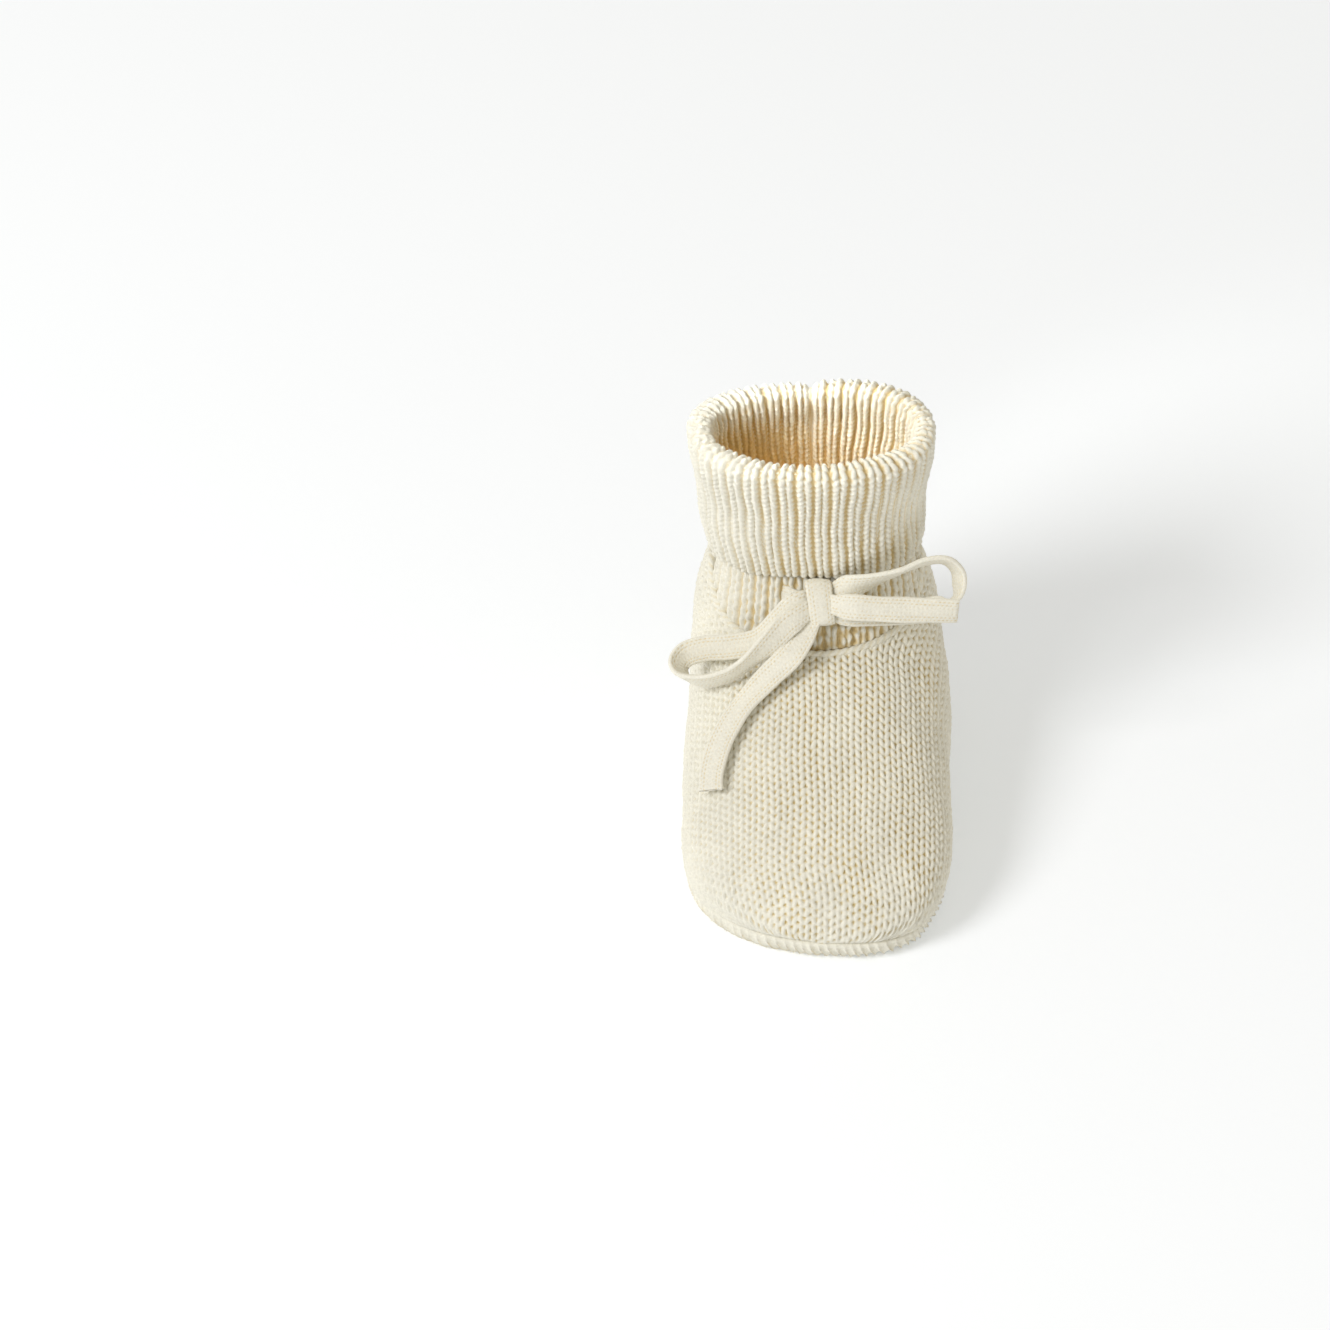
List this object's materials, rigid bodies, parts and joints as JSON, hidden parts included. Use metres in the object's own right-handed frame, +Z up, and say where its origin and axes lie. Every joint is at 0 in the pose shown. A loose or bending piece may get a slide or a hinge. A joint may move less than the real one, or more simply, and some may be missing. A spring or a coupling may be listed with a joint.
{
  "type": "baby bootie",
  "caption": "Knitted baby bootie with a ribbed cuff turned down over the ankle and a flat tape tied in a bow in front.",
  "frame": {"origin": "On the ground under the middle of the foot's length and width.", "axes": "+Z up, the toe points to -Y and the heel to +Y, +X is the wearer's left as the bootie is seen from the heel towards the toe."},
  "size_m": [0.0664, 0.1023, 0.0929],
  "materials": {
    "stockinette_knit": "fine cream wool in plain knit, matte and slightly fuzzy",
    "rib_knit": "the same cream wool in single rib, matte and stretchy",
    "seam_yarn": "the same cream wool as sewing yarn",
    "tie_tape": "narrow tape knitted of finer cream wool, flat and matte"
  },
  "bodies": {
    "bootie": {"sole_panel": "stockinette_knit", "foot_upper": "stockinette_knit", "ankle_rib": "rib_knit", "turned_cuff": "rib_knit", "sole_seam": "seam_yarn", "ankle_seam": "seam_yarn", "heel_seam": "seam_yarn", "cuff_seam": "seam_yarn", "tie_band": "tie_tape", "tie_knot": "tie_tape"},
    "loop_right": {"bow_loop_right": "tie_tape"},
    "loop_left": {"bow_loop_left": "tie_tape"},
    "tail_right": {"tie_tail_right": "tie_tape"},
    "tail_left": {"tie_tail_left": "tie_tape"}
  },
  "joints": [
    {"name": "loop_right_lift", "type": "hinge", "parent": "bootie", "child": "loop_right", "pos_m": [0.0042, 0.0086, 0.0572], "axis": [0, -1, 0], "range_deg": [0, 25]},
    {"name": "loop_left_lift", "type": "hinge", "parent": "bootie", "child": "loop_left", "pos_m": [-0.004, 0.0068, 0.0535], "axis": [-0.4294, 0.789, 0.4394], "range_deg": [0, 30]},
    {"name": "tail_right_lift", "type": "hinge", "parent": "bootie", "child": "tail_right", "pos_m": [0.0042, 0.0043, 0.0549], "axis": [0, -0.6606, -0.7507], "range_deg": [0, 50]},
    {"name": "tail_left_lift", "type": "hinge", "parent": "bootie", "child": "tail_left", "pos_m": [-0.0028, 0.0028, 0.0484], "axis": [-0.8403, 0.2701, 0.4701], "range_deg": [0, 20]}
  ]
}
